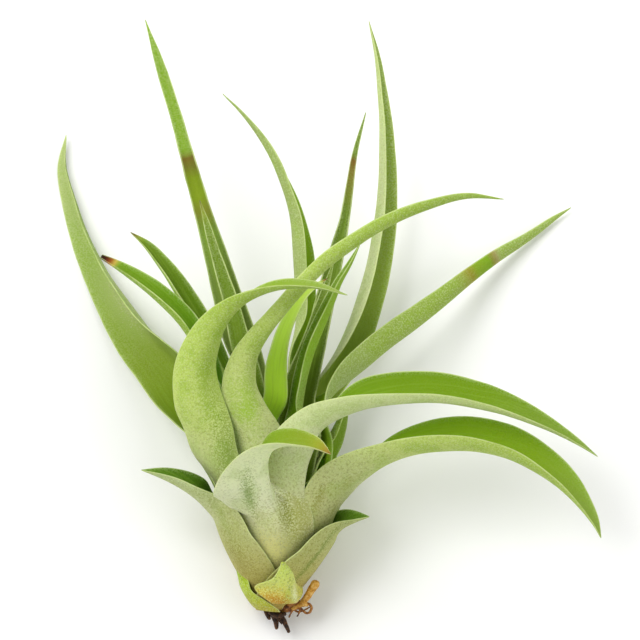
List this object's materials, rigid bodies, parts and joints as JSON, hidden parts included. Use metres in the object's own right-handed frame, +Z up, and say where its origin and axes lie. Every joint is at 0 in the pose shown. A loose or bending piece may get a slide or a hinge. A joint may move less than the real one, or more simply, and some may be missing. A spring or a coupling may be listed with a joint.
{
  "type": "air plant",
  "caption": "Soft-leaved air plant laid down as picked: a bulb of nested sheaths, channelled silver-green leaves that spread and arch, and a tuft of roots.",
  "frame": {"origin": "centre of the small flat spot on the underside of the bulb, on the surface that the plant lies on", "axes": "+Z up from the surface, +Y along the plant from its roots towards its leaf tips, +X to the right of the plant as seen from above with its roots near and its tips far"},
  "size_m": [0.1651, 0.186, 0.075],
  "materials": {
    "silver_leaf": "matt silver-green leaf, covered in fine grey scales",
    "green_leaf": "matt green leaf with a thin coat of fine grey scales",
    "bright_leaf": "bright yellow-green leaf, satin, with thin scales",
    "dark_leaf": "dark green leaf, satin",
    "sheath": "matt olive and cream sheath with speckles",
    "bract": "dry yellow-green and orange-brown bract",
    "stem": "rough orange-brown stem",
    "dark_root": "wiry black-brown roots",
    "amber_root": "smooth amber root",
    "curled_root": "tan-brown curled rootlets"
  },
  "bodies": {
    "root": {"stem": "stem", "bract_left": "bract", "bract_front": "bract", "leaf_right_low": "sheath", "leaf_under_middle": "sheath", "leaf_left_low": "sheath", "leaf_front_fold": "silver_leaf", "leaf_left_hidden_tip": "green_leaf", "leaf_back_right_short": "green_leaf", "leaf_under_left": "green_leaf", "leaf_front_left_arch": "silver_leaf", "leaf_right_lower_arch": "silver_leaf", "leaf_under_right": "green_leaf", "leaf_right_upper_arch": "silver_leaf", "leaf_left_broad": "green_leaf", "leaf_front_long_arch": "silver_leaf", "leaf_right_straight": "silver_leaf", "leaf_left_burnt_tip": "bright_leaf", "leaf_right_tall": "silver_leaf", "leaf_left_upper": "bright_leaf", "leaf_back_curved": "silver_leaf", "leaf_left_tall": "green_leaf", "leaf_back_narrow": "dark_leaf", "leaf_left_tall_inner": "green_leaf", "leaf_heart_core": "green_leaf", "leaf_heart_short": "bright_leaf", "leaf_heart_narrow": "bright_leaf", "roots_dark": "dark_root", "root_amber": "amber_root", "roots_curled": "curled_root"}
  },
  "joints": []
}
